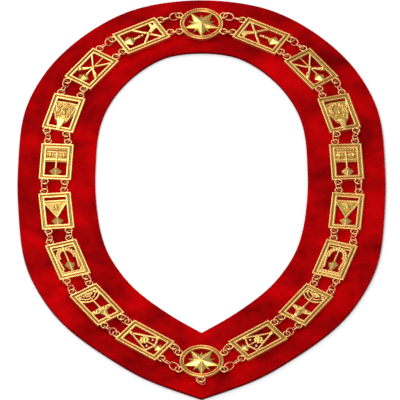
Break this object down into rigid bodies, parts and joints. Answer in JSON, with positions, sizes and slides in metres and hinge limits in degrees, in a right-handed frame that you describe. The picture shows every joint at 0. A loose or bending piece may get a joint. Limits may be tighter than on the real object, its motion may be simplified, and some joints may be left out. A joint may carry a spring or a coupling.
{
  "type": "chain of office on a velvet collar",
  "caption": "Chain of office: pierced gilt plates and star medallions joined by jump rings, lying on a flat heart-shaped velvet collar with an open neck.",
  "frame": {"origin": "centre of the collar's outline, on the surface that it lies on", "axes": "+Y from the collar's point towards the back of the neck, +Z out of the velvet's face, +X to the right as the face is looked at with +Y up"},
  "size_m": [0.3394, 0.5128, 0.0091],
  "materials": {
    "velvet": "deep red velvet with a short pile, brushed in uneven strokes, darker where the edges roll over",
    "gilt_casting": "gold-plated cast metal, lacquered, bright on the rims and reliefs, rosier on the rims and sides and darker in the grooves",
    "gilt_wire": "gold-plated drawn wire, lacquered, bright and a little rosier than the castings"
  },
  "bodies": {
    "root": {"velvet_collar": "velvet", "medallion_top": "gilt_casting", "medallion_bottom": "gilt_casting", "plate_left_1": "gilt_casting", "plate_left_2": "gilt_casting", "plate_left_3": "gilt_casting", "plate_left_4": "gilt_casting", "plate_left_5": "gilt_casting", "plate_left_6": "gilt_casting", "plate_left_7": "gilt_casting", "plate_left_8": "gilt_casting", "plate_right_1": "gilt_casting", "plate_right_2": "gilt_casting", "plate_right_3": "gilt_casting", "plate_right_4": "gilt_casting", "plate_right_5": "gilt_casting", "plate_right_6": "gilt_casting", "plate_right_7": "gilt_casting", "plate_right_8": "gilt_casting", "links_left_outer_1": "gilt_wire", "links_left_outer_2": "gilt_wire", "links_left_outer_3": "gilt_wire", "links_left_outer_4": "gilt_wire", "links_left_outer_5": "gilt_wire", "links_left_outer_6": "gilt_wire", "links_left_outer_7": "gilt_wire", "links_left_outer_8": "gilt_wire", "links_left_outer_9": "gilt_wire", "links_left_inner_1": "gilt_wire", "links_left_inner_2": "gilt_wire", "links_left_inner_3": "gilt_wire", "links_left_inner_4": "gilt_wire", "links_left_inner_5": "gilt_wire", "links_left_inner_6": "gilt_wire", "links_left_inner_7": "gilt_wire", "links_left_inner_8": "gilt_wire", "links_left_inner_9": "gilt_wire", "links_right_outer_1": "gilt_wire", "links_right_outer_2": "gilt_wire", "links_right_outer_3": "gilt_wire", "links_right_outer_4": "gilt_wire", "links_right_outer_5": "gilt_wire", "links_right_outer_6": "gilt_wire", "links_right_outer_7": "gilt_wire", "links_right_outer_8": "gilt_wire", "links_right_outer_9": "gilt_wire", "links_right_inner_1": "gilt_wire", "links_right_inner_2": "gilt_wire", "links_right_inner_3": "gilt_wire", "links_right_inner_4": "gilt_wire", "links_right_inner_5": "gilt_wire", "links_right_inner_6": "gilt_wire", "links_right_inner_7": "gilt_wire", "links_right_inner_8": "gilt_wire", "links_right_inner_9": "gilt_wire", "pendant_ring": "gilt_wire"}
  },
  "joints": []
}
